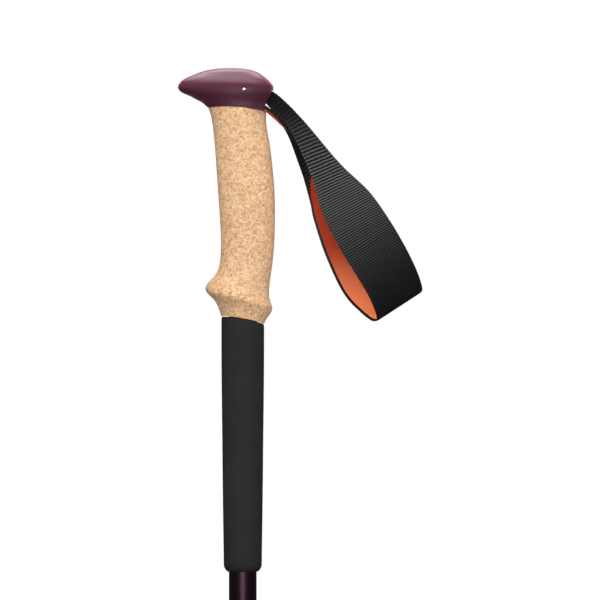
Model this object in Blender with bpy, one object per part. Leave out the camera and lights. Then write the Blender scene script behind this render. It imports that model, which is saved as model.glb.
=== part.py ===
"""A three-section telescoping trekking pole, closed up, standing on its tip.

The pole's axis is Z and its tip's flat end is the origin. The grip's beak points to -X and
the wrist strap leaves the head at +X. Lengths are in metres; outline tables are in
millimetres, and those of the handle count down from the top of the head.
"""

import math

import bmesh
import bpy
from mathutils import Matrix, Vector

MM = 0.001

# Driving dimensions, in metres.
CLOSED_LENGTH = 0.620
GAP = 0.0003

UPPER_TUBE_RADIUS = 0.009
TUBE_WALL = 0.0007
TUBE_BORE_DEPTH_BELOW_TOP = 0.032
MIDDLE_TUBE_HEADROOM = 0.028
LOWER_TUBE_HEADROOM = 0.018
BUSH_FLANGE = 0.004
BUSH_SPIGOT = 0.009

CORE_WALL = 0.0013
CORE_TOP_BELOW_TOP = 0.0286
CORE_BOTTOM_BELOW_TOP = 0.160
HEAD_SPIGOT_LENGTH = 0.026

STRAP_PIN_X = 0.001
STRAP_PIN_BELOW_TOP = 0.0136
STRAP_PIN_RADIUS = 0.0012
STRAP_PIN_LENGTH = 0.028
WEDGE_NOSE_RADIUS = 0.0034
WEDGE_TAIL_RADIUS = 0.0012
WEDGE_LENGTH = 0.0152
WEDGE_SLOPE = math.radians(-27)
STRAP_NARROW_WIDTH = 0.018
STRAP_END_THICKNESS = 0.0019
STRAP_THICKNESS = 0.0012
LINING_THICKNESS = 0.0007
MOUTH_CLEARANCE = 0.001
STRAP_HINGE_X = 0.0202
STRAP_HINGE_BELOW_TOP = 0.0263

CLAMP_HEIGHT = 0.038
CLAMP_SEAT_HEIGHT = 0.0157
CLAMP_WALL = 0.0027
CLAMP_SLIT = 0.0022
UPPER_CLAMP_BOTTOM = 0.146
LOWER_CLAMP_BOTTOM = 0.100
LUG_BOTTOM = 0.002
LUG_HEIGHT = 0.014
LUG_REACH = 0.008
LUG_THICKNESS = 0.0046
SCREW_RADIUS = 0.00125
SCREW_HEAD_RADIUS = 0.0028
SCREW_HEAD_HEIGHT = 0.0022
SCREW_SOCKET_RADIUS = 0.0014
PLATE_RADIUS = 0.0038
PLATE_THICKNESS = 0.0008
PIVOT_RADIUS = 0.0026
CAM_WALL = 0.0017
LEVER_HEIGHT = 0.012
LEVER_THICKNESS = 0.0028
LEVER_END_ANGLE = math.radians(-172)

FERRULE_BOTTOM = 0.0143
FERRULE_TOP = 0.085
FERRULE_WALL = 0.0017
FERRULE_SEAT = 0.060
FERRULE_NECK_RADIUS = 0.007
BASKET_BOTTOM = 0.042
BASKET_HUB_HEIGHT = 0.012
BASKET_HUB_WALL = 0.0027
BASKET_RADIUS = 0.0225
BASKET_THICKNESS = 0.0022
BASKET_RISE = 0.003
BASKET_HOLES = 6
BASKET_HOLE_RADIUS = 0.0032
TIP_RADIUS = 0.0019
TIP_LENGTH = 0.0097
TIP_EXPOSED = 0.005
HOLDER_RADIUS = 0.0049
SHANK_RADIUS = 0.0032
SHANK_TOP = 0.026

ROUND_STEPS = 32
RING_POINTS = 28

# Sizes that follow from them.
MIDDLE_TUBE_RADIUS = UPPER_TUBE_RADIUS - TUBE_WALL - GAP
LOWER_TUBE_RADIUS = MIDDLE_TUBE_RADIUS - TUBE_WALL - GAP
UPPER_TUBE_TOP = CLOSED_LENGTH - TUBE_BORE_DEPTH_BELOW_TOP
SPIGOT_BOTTOM = UPPER_TUBE_TOP - HEAD_SPIGOT_LENGTH
MIDDLE_TUBE_TOP = UPPER_TUBE_TOP - MIDDLE_TUBE_HEADROOM - BUSH_FLANGE
LOWER_TUBE_TOP = MIDDLE_TUBE_TOP - LOWER_TUBE_HEADROOM
CORE_RADIUS = UPPER_TUBE_RADIUS + GAP + CORE_WALL
STRAP_PIN_Z = CLOSED_LENGTH - STRAP_PIN_BELOW_TOP

# Head outline: front x, front z, rear x, rear z, half width, how far the widest place sits to the rear.
HEAD_RINGS = (
    (-22.6, -24.8, 14.6, -28.3, 15.0, 0.00),
    (-26.5, -21.8, 14.7, -23.6, 15.4, 0.10),
    (-34.3, -17.9, 17.2, -18.6, 16.4, 0.25),
    (-39.5, -15.9, 19.0, -16.0, 17.0, 0.35),
    (-42.1, -14.0, 19.8, -14.0, 17.2, 0.40),
    (-42.8, -12.0, 19.8, -12.0, 17.2, 0.40),
    (-42.1, -10.1, 19.0, -10.1, 16.8, 0.40),
    (-40.2, -8.1, 17.2, -8.1, 15.7, 0.40),
    (-36.9, -6.2, 15.0, -6.2, 14.0, 0.40),
    (-32.4, -4.2, 12.4, -4.2, 11.8, 0.40),
    (-27.2, -2.3, 8.6, -2.3, 9.0, 0.40),
    (-19.0, -0.8, 2.4, -0.8, 5.0, 0.35),
    (-12.0, 0.0, -5.0, 0.0, 1.6, 0.30),
)

# Cork outline, bottom to top: front x, front z, rear x, rear z, half width.
CORK_RINGS = (
    (-14.2, -161.2, 14.0, -166.1, 13.9),
    (-15.5, -156.3, 15.6, -162.4, 14.4),
    (-18.1, -151.1, 18.2, -159.2, 15.8),
    (-23.3, -145.9, 19.0, -156.3, 17.6),
    (-24.2, -142.7, 18.9, -154.6, 18.0),
    (-23.0, -140.2, 18.0, -152.2, 17.5),
    (-18.7, -135.5, 17.0, -148.5, 16.2),
    (-15.6, -130.3, 17.4, -140.7, 15.2),
    (-14.6, -123.5, 18.9, -129.0, 15.0),
    (-14.2, -112.0, 20.4, -114.0, 15.1),
    (-14.8, -99.1, 20.9, -99.1, 15.2),
    (-16.1, -78.3, 20.6, -78.3, 15.3),
    (-17.6, -57.5, 18.7, -57.5, 15.0),
    (-19.4, -36.7, 15.4, -38.0, 14.8),
    (-22.3, -25.5, 14.6, -29.0, 15.0),
)

# Foam outline below the cork: distance below the top, radius.
FOAM_OUTLINE = (
    (170.0, 13.9),
    (215.0, 13.65),
    (267.0, 13.1),
    (316.0, 12.55),
    (324.4, 12.3),
    (326.2, 11.6),
    (327.0, 10.4),
)

# Wrist strap, from its upper run round the bottom of the loop and back up behind:
# x, y, z of its middle, width, and how far its width leans from across the run towards +Y.
STRAP_STATIONS = (
    (22.0, 0.0, -22.9, 18.0, 58),
    (29.7, -0.5, -31.1, 18.0, 57),
    (39.0, -2.0, -43.2, 19.5, 51),
    (53.4, -4.5, -66.1, 25.0, 38),
    (66.5, -8.0, -87.6, 36.5, 25),
    (79.1, -12.0, -108.4, 39.5, 20),
    (91.7, -13.8, -128.8, 39.5, 23),
    (98.6, -12.0, -142.0, 39.0, 25),
    (101.9, -3.0, -151.5, 39.0, 25),
    (97.6, 8.5, -152.5, 39.0, 25),
    (88.8, 13.0, -144.0, 39.5, 24),
    (80.5, 13.6, -136.0, 39.5, 24),
    (70.6, 14.0, -114.0, 39.5, 21),
    (62.6, 14.8, -92.0, 36.5, 13),
    (56.6, 15.0, -79.4, 29.5, -3),
    (50.2, 14.6, -67.9, 24.5, -26),
    (42.9, 12.6, -57.2, 21.0, -50),
    (34.2, 8.8, -47.3, 19.5, -70),
    (25.2, 3.4, -36.9, 18.0, -80),
    (19.9, 0.8, -31.2, 18.0, -82),
)
STRAP_ACROSS = Vector((0.84, 0.0, 0.54))
STRAP_SPLITS = 4
LINING_LEFT_OUT = 8


def clear_scene():
    for thing in list(bpy.data.objects):
        bpy.data.objects.remove(thing, do_unlink=True)


def finish(name, colour, roughness, metallic=0.0):
    """A plain material of one colour."""
    material = bpy.data.materials.new(name)
    material.use_nodes = True
    shader = material.node_tree.nodes["Principled BSDF"]
    shader.inputs["Base Color"].default_value = (*colour, 1.0)
    shader.inputs["Roughness"].default_value = roughness
    shader.inputs["Metallic"].default_value = metallic
    return material


def body(name, mesh, material, outwards=True):
    """Turns a bmesh into a named, smooth-shaded object."""
    if outwards:
        bmesh.ops.recalc_face_normals(mesh, faces=mesh.faces)
    data = bpy.data.meshes.new(name)
    mesh.to_mesh(data)
    mesh.free()
    if material:
        data.materials.append(material)
    data.shade_smooth()
    data.set_sharp_from_angle(angle=math.radians(35))
    made = bpy.data.objects.new(name, data)
    bpy.context.scene.collection.objects.link(made)
    return made


def skin(name, rings, material, closed=False):
    """Faces from ring to ring; a closed skin joins the last ring to the first, others get caps."""
    mesh = bmesh.new()
    rows = [[mesh.verts.new(point) for point in ring] for ring in rings]
    following = rows[1:] + rows[:1] if closed else rows[1:]
    for lower, upper in zip(rows, following):
        for here, beyond in zip(range(len(lower)), [*range(1, len(lower)), 0]):
            mesh.faces.new((lower[here], lower[beyond], upper[beyond], upper[here]))
    if not closed:
        mesh.faces.new(rows[0])
        mesh.faces.new(rows[-1])
    return body(name, mesh, material)


def turned(name, outline, material, steps=ROUND_STEPS):
    """A body turned about Z. An outline that starts on the axis ends on it; any other is a ring."""
    mesh = bmesh.new()
    points = [mesh.verts.new((radius, 0.0, height)) for radius, height in outline]
    edges = [mesh.edges.new(pair) for pair in zip(points, points[1:])]
    if outline[0][0] > 0.0:
        edges.append(mesh.edges.new((points[-1], points[0])))
    bmesh.ops.spin(mesh, geom=points + edges, cent=(0, 0, 0), axis=(0, 0, 1), angle=math.tau,
                   steps=steps, use_merge=True)
    bmesh.ops.remove_doubles(mesh, verts=mesh.verts, dist=1e-6)
    return body(name, mesh, material)


def tube(name, outer, inner, low, high, material):
    return turned(name, ((inner, low), (outer, low), (outer, high), (inner, high)), material)


def prism(name, outline, low, high, axis, material=None):
    """An outline in the X-Y or X-Z plane, extruded along Z or Y."""
    mesh = bmesh.new()
    along = Vector((0, 0, 1)) if axis == "Z" else Vector((0, 1, 0))
    up = Vector((0, 1, 0)) if axis == "Z" else Vector((0, 0, 1))
    right = Vector((1, 0, 0))
    points = [mesh.verts.new(right * x + up * v + along * low) for x, v in outline]
    face = mesh.faces.new(points)
    grown = bmesh.ops.extrude_face_region(mesh, geom=[face])["geom"]
    moved = [item for item in grown if isinstance(item, bmesh.types.BMVert)]
    bmesh.ops.translate(mesh, verts=moved, vec=along * (high - low))
    return body(name, mesh, material)


def rod(name, start, end, radius, material=None, steps=20):
    """A plain round bar between two points."""
    start, end = Vector(start), Vector(end)
    turn = (end - start).to_track_quat("Z", "Y").to_matrix().to_4x4()
    place = Matrix.Translation((start + end) / 2) @ turn
    mesh = bmesh.new()
    bmesh.ops.create_cone(mesh, cap_ends=True, segments=steps, radius1=radius, radius2=radius,
                          depth=(end - start).length, matrix=place)
    return body(name, mesh, material)


def helper(thing):
    thing.hide_render = True
    thing.display_type = "WIRE"
    return thing


def combine(thing, other, operation):
    change = thing.modifiers.new(other.name, "BOOLEAN")
    change.operation = operation
    change.solver = "EXACT"
    change.object = helper(other)


def cut(thing, *cutters):
    for cutter in cutters:
        combine(thing, cutter, "DIFFERENCE")


def join(thing, *others):
    for other in others:
        combine(thing, other, "UNION")


def joint(name, place):
    """An empty on a joint's axis, which carries what moves there."""
    empty = bpy.data.objects.new(name, None)
    empty.location = place
    bpy.context.scene.collection.objects.link(empty)
    return empty


def hang(empty, *things):
    for thing in things:
        thing.parent = empty
        thing.matrix_parent_inverse = Matrix.Translation(-empty.location)


def oval(front, rear, half_width, lead=0.0, squareness=2.0):
    """A flat oval ring through its front and rear points, widest at lead times its half length
    behind its middle."""
    middle = (front + rear) / 2
    widest = middle + (rear - middle) * lead
    ring = []
    for step in range(RING_POINTS):
        turn = math.tau * step / RING_POINTS
        cosine, sine = math.cos(turn), math.sin(turn)
        reach = (rear if cosine > 0 else front) - widest
        along = abs(cosine) ** (2 / squareness)
        across = math.copysign(abs(sine) ** (2 / squareness), sine)
        ring.append(widest + reach * along + Vector((0, half_width * across, 0)))
    return ring


def handle_point(x, below):
    return Vector((x * MM, 0, CLOSED_LENGTH + below * MM))


def handle_rings(table, squareness=2.0):
    rings = []
    for front_x, front_z, rear_x, rear_z, half_width, *lead in table:
        front, rear = handle_point(front_x, front_z), handle_point(rear_x, rear_z)
        rings.append(oval(front, rear, half_width * MM, *lead or (0.0,), squareness=squareness))
    return rings


def circle(radius, seam=None, height=0.0):
    """Points on a circle about the pole's axis: level at a height, or on the tilted plane of a
    seam ring."""
    slope = 0.0
    if seam:
        front, rear = min(seam, key=lambda p: p.x), max(seam, key=lambda p: p.x)
        slope = (rear.z - front.z) / (rear.x - front.x)
        height = front.z - slope * front.x
    ring = []
    for step in range(RING_POINTS):
        turn = math.tau * step / RING_POINTS
        x, y = radius * math.cos(turn), radius * math.sin(turn)
        ring.append(Vector((x, y, height + slope * x)))
    return ring


def wedge_outline(grown=0.0, steps=10):
    """The strap wedge's side view, grown all round: a round nose on the pin and a round tail.
    Returns the nose's arc and the tail's arc."""
    nose = Vector((STRAP_PIN_X, STRAP_PIN_Z))
    along = Vector((math.cos(WEDGE_SLOPE), math.sin(WEDGE_SLOPE)))
    tail = nose + along * WEDGE_LENGTH
    nose_radius, tail_radius = WEDGE_NOSE_RADIUS + grown, WEDGE_TAIL_RADIUS + grown
    lean = math.acos((WEDGE_NOSE_RADIUS - WEDGE_TAIL_RADIUS) / WEDGE_LENGTH)
    arcs = []
    for centre, radius, start, end in (
        (nose, nose_radius, lean, math.tau - lean),
        (tail, tail_radius, -lean, lean),
    ):
        arc = []
        for step in range(steps + 1):
            turn = WEDGE_SLOPE + start + (end - start) * step / steps
            arc.append((centre.x + radius * math.cos(turn), centre.y + radius * math.sin(turn)))
        arcs.append(arc)
    return arcs


def make_head(material):
    """The moulded top of the grip: a domed cap with a beak, a spigot for the tube and a mouth at
    the rear that holds the strap."""
    head = skin("grip_head", handle_rings(HEAD_RINGS), material)
    bore = UPPER_TUBE_RADIUS - TUBE_WALL
    inside = CLOSED_LENGTH - 0.026
    spigot = rod("head_spigot", (0, 0, SPIGOT_BOTTOM), (0, 0, inside), bore - GAP, steps=ROUND_STEPS)
    join(head, spigot)

    slot_half = STRAP_NARROW_WIDTH / 2 + 0.0005
    room = GAP + STRAP_END_THICKNESS + MOUTH_CLEARANCE
    nose, tail = wedge_outline(room)
    floor = CLOSED_LENGTH - 0.0255
    lip = CLOSED_LENGTH - 0.0148
    outside = 0.026
    outline = [point for point in nose if point[1] > floor]
    outline += [(0.0095, floor), (0.0095, floor - 0.006), (outside, floor - 0.006), (outside, lip)]
    cut(
        head,
        prism("strap_mouth", outline, -slot_half, slot_half, "Y"),
        rod("strap_pin_hole", (STRAP_PIN_X, -0.03, STRAP_PIN_Z), (STRAP_PIN_X, 0.03, STRAP_PIN_Z),
            STRAP_PIN_RADIUS + GAP, steps=16),
    )


def make_strap_fixing(steel, plastic, webbing):
    """The pin across the head, the wedge on it, and the strap's sewn eye round the wedge."""
    half = STRAP_PIN_LENGTH / 2
    start = (STRAP_PIN_X, -half, STRAP_PIN_Z)
    end = (STRAP_PIN_X, half, STRAP_PIN_Z)
    rod("strap_pin", start, end, STRAP_PIN_RADIUS, steel, steps=16)

    half_width = STRAP_NARROW_WIDTH / 2 - 0.0005
    nose, tail = wedge_outline()
    wedge = prism("strap_wedge", nose + tail, -half_width, half_width, "Y", plastic)
    cut(wedge, rod("wedge_bore", (STRAP_PIN_X, -0.03, STRAP_PIN_Z),
                   (STRAP_PIN_X, 0.03, STRAP_PIN_Z), STRAP_PIN_RADIUS + GAP, steps=16))

    inner_nose, inner_tail = wedge_outline(GAP)
    outer_nose, outer_tail = wedge_outline(GAP + STRAP_END_THICKNESS)
    inner = [inner_tail[-1], *inner_nose, inner_tail[0]]
    outer = [outer_tail[-1], *outer_nose, outer_tail[0]]
    prism("strap_anchor", outer + inner[::-1], -half_width, half_width, "Y", webbing)


def make_grip(core_plastic, cork, foam):
    """The moulded core round the tube, the cork on it, and the foam sleeve below."""
    tube(
        "grip_core",
        CORE_RADIUS,
        UPPER_TUBE_RADIUS + GAP,
        CLOSED_LENGTH - CORE_BOTTOM_BELOW_TOP,
        CLOSED_LENGTH - CORE_TOP_BELOW_TOP,
        core_plastic,
    )

    outside = handle_rings(CORK_RINGS, squareness=2.2)
    bore = CORE_RADIUS + GAP
    inside = [circle(bore, outside[-1]), circle(bore, outside[0])]
    skin("cork_grip", outside + inside, cork, closed=True)

    inner = UPPER_TUBE_RADIUS + GAP
    foam_top = [point - Vector((0, 0, GAP)) for point in outside[0]]
    rings = [circle(FOAM_OUTLINE[0][1] * MM, foam_top)]
    for below, radius in FOAM_OUTLINE:
        rings.append(circle(radius * MM, height=CLOSED_LENGTH - below * MM))
    rings.append(circle(inner, height=rings[-1][0].z))
    rings.append(circle(inner, foam_top))
    skin("foam_grip", rings, foam, closed=True)


def smooth_station(rows, place):
    """A row between the table's rows, on a smooth curve through them."""
    index = min(int(place), len(rows) - 2)
    t = place - index
    before, here = rows[max(index - 1, 0)], rows[index]
    there, after = rows[index + 1], rows[min(index + 2, len(rows) - 1)]
    row = []
    for a, b, c, d in zip(before, here, there, after):
        row.append(b + 0.5 * t * (c - a + t * (2 * a - 5 * b + 4 * c - d + t * (3 * (b - c) + d - a))))
    return row


def strap_layer(name, depth, thickness, material, left_out=0):
    """A layer of the strap that starts at a depth below its outer face, as a sheet with a wall."""
    count = (len(STRAP_STATIONS) - 1) * STRAP_SPLITS
    rows = [smooth_station(STRAP_STATIONS, step / STRAP_SPLITS) for step in range(count + 1)]
    middles = [Vector((x * MM, y * MM, CLOSED_LENGTH + z * MM)) for x, y, z, *_ in rows]
    mesh = bmesh.new()
    lines = []
    for index, (*_, width, lean) in enumerate(rows):
        ahead = (middles[min(index + 1, count)] - middles[max(index - 1, 0)]).normalized()
        lean = math.radians(lean)
        across = STRAP_ACROSS * math.cos(lean) + Vector((0, math.sin(lean), 0))
        across = (across - ahead * across.dot(ahead)).normalized() * width * MM / 2
        inwards = across.cross(ahead).normalized()
        middle = middles[index] + inwards * depth
        lines.append([mesh.verts.new(middle + across * share) for share in (-1, 0, 1)])
    lines = lines[left_out:len(lines) - left_out]
    for here, beyond in zip(lines, lines[1:]):
        for side in (0, 1):
            mesh.faces.new((here[side], here[side + 1], beyond[side + 1], beyond[side]))
    loose = [point for point in mesh.verts if not point.link_faces]
    bmesh.ops.delete(mesh, geom=loose, context="VERTS")
    bmesh.ops.triangulate(mesh, faces=mesh.faces, quad_method="FIXED")
    layer = body(name, mesh, material, outwards=False)
    wall = layer.modifiers.new("thickness", "SOLIDIFY")
    wall.thickness = thickness
    wall.offset = 1.0
    return layer


def make_strap(webbing, suede):
    """The wrist strap's loop of webbing and the soft lining on its inner face."""
    swing = joint("strap_swing", (STRAP_HINGE_X, 0, CLOSED_LENGTH - STRAP_HINGE_BELOW_TOP))
    outer = strap_layer("strap_webbing", 0.0, STRAP_THICKNESS, webbing)
    depth = STRAP_THICKNESS + GAP
    inner = strap_layer("strap_lining", depth, LINING_THICKNESS, suede, LINING_LEFT_OUT)
    hang(swing, outer, inner)


def make_tubes(metal, plastic):
    """The three tubes, each sliding in the one above it, with a plastic bush in the top of the
    two that slide. Returns the empties that carry the middle and the lower section."""
    tube("upper_tube", UPPER_TUBE_RADIUS, UPPER_TUBE_RADIUS - TUBE_WALL,
         UPPER_CLAMP_BOTTOM + CLAMP_SEAT_HEIGHT + GAP, UPPER_TUBE_TOP, metal)
    sections = []
    for name, radius, low, top in (
        ("middle", MIDDLE_TUBE_RADIUS, LOWER_CLAMP_BOTTOM + CLAMP_SEAT_HEIGHT + GAP, MIDDLE_TUBE_TOP),
        ("lower", LOWER_TUBE_RADIUS, FERRULE_SEAT + GAP, LOWER_TUBE_TOP),
    ):
        slide = joint(f"{name}_slide", (0, 0, low))
        bore = radius - TUBE_WALL
        sleeve = tube(f"{name}_tube", radius, bore, low, top, metal)
        spigot_low = top - BUSH_SPIGOT
        bush = turned(
            f"{name}_tube_bush",
            (
                (0.0, spigot_low),
                (bore - GAP, spigot_low),
                (bore - GAP, top + GAP),
                (radius, top + GAP),
                (radius, top + GAP + BUSH_FLANGE - 0.001),
                (radius - 0.001, top + GAP + BUSH_FLANGE),
                (0.0, top + GAP + BUSH_FLANGE),
            ),
            plastic,
        )
        hang(slide, sleeve, bush)
        sections.append(slide)
    return sections


def lever_outline(pivot, cam_radius, inner, tip_angle):
    """The lever seen along the pole: a round cam head and an arm that follows the collar."""
    outer = inner + LEVER_THICKNESS
    outline = []
    for step in range(13):
        turn = math.radians(150 - 240 * step / 12)
        outline.append((pivot.x + cam_radius * math.cos(turn), pivot.y + cam_radius * math.sin(turn)))
    start = math.radians(-68)
    steps = 12
    for step in range(steps + 1):
        share = step / steps
        turn = start + (tip_angle - start) * share
        radius = outer + 0.0016 * share ** 3
        outline.append((radius * math.cos(turn), radius * math.sin(turn)))
    for step in range(steps + 1):
        share = 1 - step / steps
        turn = start + (tip_angle - start) * share
        radius = inner + 0.001 * share ** 3
        outline.append((radius * math.cos(turn), radius * math.sin(turn)))
    return outline


def make_clamp(name, bottom, outer_tube, inner_tube, carrier, plastic, lever_plastic, steel, brass):
    """A split collar on the end of one tube that grips the tube sliding in it. A screw across the
    split ends in a cross pin, and the lever's cam turns on that pin and pulls the split shut."""
    top, seat = bottom + CLAMP_HEIGHT, bottom + CLAMP_SEAT_HEIGHT
    upper_bore, lower_bore = outer_tube + GAP, inner_tube + GAP
    outside = upper_bore + CLAMP_WALL
    neck = outside - 0.0008
    collar = turned(
        f"{name}_clamp_collar",
        (
            (lower_bore, bottom),
            (neck - 0.0006, bottom),
            (neck, bottom + 0.0006),
            (neck, seat),
            (outside, seat + 0.0008),
            (outside, top - 0.003),
            (outside - 0.0014, top),
            (upper_bore, top),
            (upper_bore, seat),
            (lower_bore, seat),
        ),
        plastic,
    )
    lug_low, lug_high = bottom + LUG_BOTTOM, bottom + LUG_BOTTOM + LUG_HEIGHT
    lug_half = CLAMP_SLIT / 2 + LUG_THICKNESS
    lug_end = outside + LUG_REACH
    root = math.sqrt(neck**2 - lug_half**2) - 0.0008
    corner = 0.0015
    lug_outline = (
        (root, -lug_half),
        (lug_end - corner, -lug_half),
        (lug_end, -lug_half + corner),
        (lug_end, lug_half - corner),
        (lug_end - corner, lug_half),
        (root, lug_half),
    )
    join(collar, prism(f"{name}_lugs", lug_outline, lug_low, lug_high, "Z"))
    axis_x = lug_end - LUG_REACH / 2 - 0.0003
    axis_z = (lug_low + lug_high) / 2
    slit_outline = (
        (inner_tube / 2, -CLAMP_SLIT / 2),
        (lug_end + 0.005, -CLAMP_SLIT / 2),
        (lug_end + 0.005, CLAMP_SLIT / 2),
        (inner_tube / 2, CLAMP_SLIT / 2),
    )
    cut(
        collar,
        prism(f"{name}_slit", slit_outline, bottom - 0.005, lug_high + 0.005, "Z"),
        rod(f"{name}_screw_way", (axis_x, -0.03, axis_z), (axis_x, 0.03, axis_z), SCREW_RADIUS + GAP,
            steps=16),
    )

    plate_face = -(lug_half + GAP)
    plate_back = plate_face - PLATE_THICKNESS
    plate = rod(f"{name}_clamp_plate", (axis_x, plate_face, axis_z), (axis_x, plate_back, axis_z),
                PLATE_RADIUS, brass)
    cut(plate, rod(f"{name}_plate_way", (axis_x, -0.03, axis_z), (axis_x, 0.03, axis_z),
                   SCREW_RADIUS + GAP, steps=16))

    cam_radius = PIVOT_RADIUS + GAP + CAM_WALL
    pivot = Vector((axis_x, plate_back - GAP - cam_radius, 0))
    lever_low, lever_high = axis_z - LEVER_HEIGHT / 2, axis_z + LEVER_HEIGHT / 2
    pin = rod(f"{name}_clamp_pin", (pivot.x, pivot.y, lever_low - 0.0006),
              (pivot.x, pivot.y, lever_high + 0.0006), PIVOT_RADIUS, steel)
    screw_way = SCREW_RADIUS + GAP
    cut(pin, rod(f"{name}_pin_way", (axis_x, -0.03, axis_z), (axis_x, 0.03, axis_z), screw_way, steps=16))

    swing = joint(f"{name}_lever_swing", (pivot.x, pivot.y, axis_z))
    inner = outside + 0.0016
    lever = prism(f"{name}_clamp_lever", lever_outline(pivot, cam_radius, inner, LEVER_END_ANGLE),
                  lever_low, lever_high, "Z", lever_plastic)
    room = screw_way + GAP
    slot_outline = (
        (pivot.x - room, pivot.y - 0.0052),
        (pivot.x + cam_radius + 0.002, pivot.y - 0.0052),
        (pivot.x + cam_radius + 0.002, pivot.y + cam_radius + 0.002),
        (pivot.x - room, pivot.y + cam_radius + 0.002),
    )
    cut(
        lever,
        rod(f"{name}_lever_bore", (pivot.x, pivot.y, lever_low - 0.005),
            (pivot.x, pivot.y, lever_high + 0.005), PIVOT_RADIUS + GAP),
        prism(f"{name}_lever_slot", slot_outline, axis_z - room, axis_z + room, "Z"),
    )
    hang(swing, lever)

    turn = joint(f"{name}_screw_turn", (axis_x, 0, axis_z))
    head_low = lug_half + GAP
    screw = rod(f"{name}_clamp_screw", (axis_x, pivot.y - PIVOT_RADIUS, axis_z),
                (axis_x, head_low + 0.0004, axis_z), SCREW_RADIUS, steel)
    head = rod(f"{name}_screw_head", (axis_x, head_low, axis_z),
               (axis_x, head_low + SCREW_HEAD_HEIGHT, axis_z), SCREW_HEAD_RADIUS)
    socket = rod(f"{name}_screw_socket", (axis_x, head_low + 0.0008, axis_z),
                 (axis_x, head_low + SCREW_HEAD_HEIGHT + 0.001, axis_z), SCREW_SOCKET_RADIUS, steps=6)
    join(screw, head)
    cut(screw, socket)
    hang(turn, screw)

    if carrier:
        for thing in (collar, plate, pin, swing, turn):
            thing.parent = carrier
            thing.matrix_parent_inverse = Matrix.Translation(-carrier.location)


def make_tip(carrier, plastic, steel, carbide):
    """The plastic ferrule on the lower tube, the basket on its neck, and the tip in its end."""
    sleeve = LOWER_TUBE_RADIUS + GAP
    shank_bore = SHANK_RADIUS + GAP
    ferrule = turned(
        "tip_ferrule",
        (
            (shank_bore, FERRULE_BOTTOM),
            (HOLDER_RADIUS + 0.0005, FERRULE_BOTTOM),
            (FERRULE_NECK_RADIUS - 0.0006, BASKET_BOTTOM - 0.006),
            (FERRULE_NECK_RADIUS, BASKET_BOTTOM - 0.002),
            (FERRULE_NECK_RADIUS, BASKET_BOTTOM + BASKET_HUB_HEIGHT + 0.002),
            (sleeve + FERRULE_WALL - 0.0006, FERRULE_SEAT + 0.002),
            (sleeve + FERRULE_WALL, FERRULE_TOP - 0.006),
            (sleeve + FERRULE_WALL - 0.0006, FERRULE_TOP),
            (sleeve, FERRULE_TOP),
            (sleeve, FERRULE_SEAT),
            (shank_bore, FERRULE_SEAT),
        ),
        plastic,
    )
    hub_bore = FERRULE_NECK_RADIUS + GAP
    hub = hub_bore + BASKET_HUB_WALL
    disc = BASKET_BOTTOM + 0.002
    basket = turned(
        "basket",
        (
            (hub_bore, BASKET_BOTTOM),
            (hub, BASKET_BOTTOM),
            (hub, disc),
            (BASKET_RADIUS - 0.002, disc + BASKET_RISE),
            (BASKET_RADIUS - 0.0004, disc + BASKET_RISE - 0.0004),
            (BASKET_RADIUS, disc + BASKET_RISE + 0.001),
            (BASKET_RADIUS - 0.0006, disc + BASKET_RISE + BASKET_THICKNESS + 0.0006),
            (BASKET_RADIUS - 0.002, disc + BASKET_RISE + BASKET_THICKNESS),
            (hub, disc + BASKET_THICKNESS),
            (hub - 0.0006, BASKET_BOTTOM + BASKET_HUB_HEIGHT),
            (hub_bore, BASKET_BOTTOM + BASKET_HUB_HEIGHT),
        ),
        plastic,
        steps=36,
    )
    reach = (hub + BASKET_RADIUS - 0.0015) / 2
    for number in range(BASKET_HOLES):
        turn = math.tau * (number + 0.3) / BASKET_HOLES
        x, y = reach * math.cos(turn), reach * math.sin(turn)
        cut(basket, rod(f"basket_hole_{number}", (x, y, BASKET_BOTTOM - 0.01),
                        (x, y, BASKET_BOTTOM + 0.02), BASKET_HOLE_RADIUS, steps=12))

    tip_bore = TIP_RADIUS + GAP
    socket_end = TIP_LENGTH + GAP
    collar_top = FERRULE_BOTTOM - GAP
    holder = turned(
        "tip_holder",
        (
            (0.0, socket_end),
            (tip_bore, socket_end),
            (tip_bore, TIP_EXPOSED),
            (tip_bore + 0.0009, TIP_EXPOSED),
            (HOLDER_RADIUS - 0.0009, TIP_EXPOSED + 0.0035),
            (HOLDER_RADIUS, TIP_EXPOSED + 0.005),
            (HOLDER_RADIUS, collar_top),
            (SHANK_RADIUS, collar_top),
            (SHANK_RADIUS, SHANK_TOP),
            (0.0, SHANK_TOP),
        ),
        steel,
    )
    tip = turned(
        "carbide_tip",
        (
            (0.0, 0.0),
            (TIP_RADIUS - 0.0003, 0.0),
            (TIP_RADIUS, 0.0005),
            (TIP_RADIUS, TIP_LENGTH),
            (0.0, TIP_LENGTH),
        ),
        carbide,
        steps=24,
    )
    hang(carrier, ferrule, basket, holder, tip)


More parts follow.
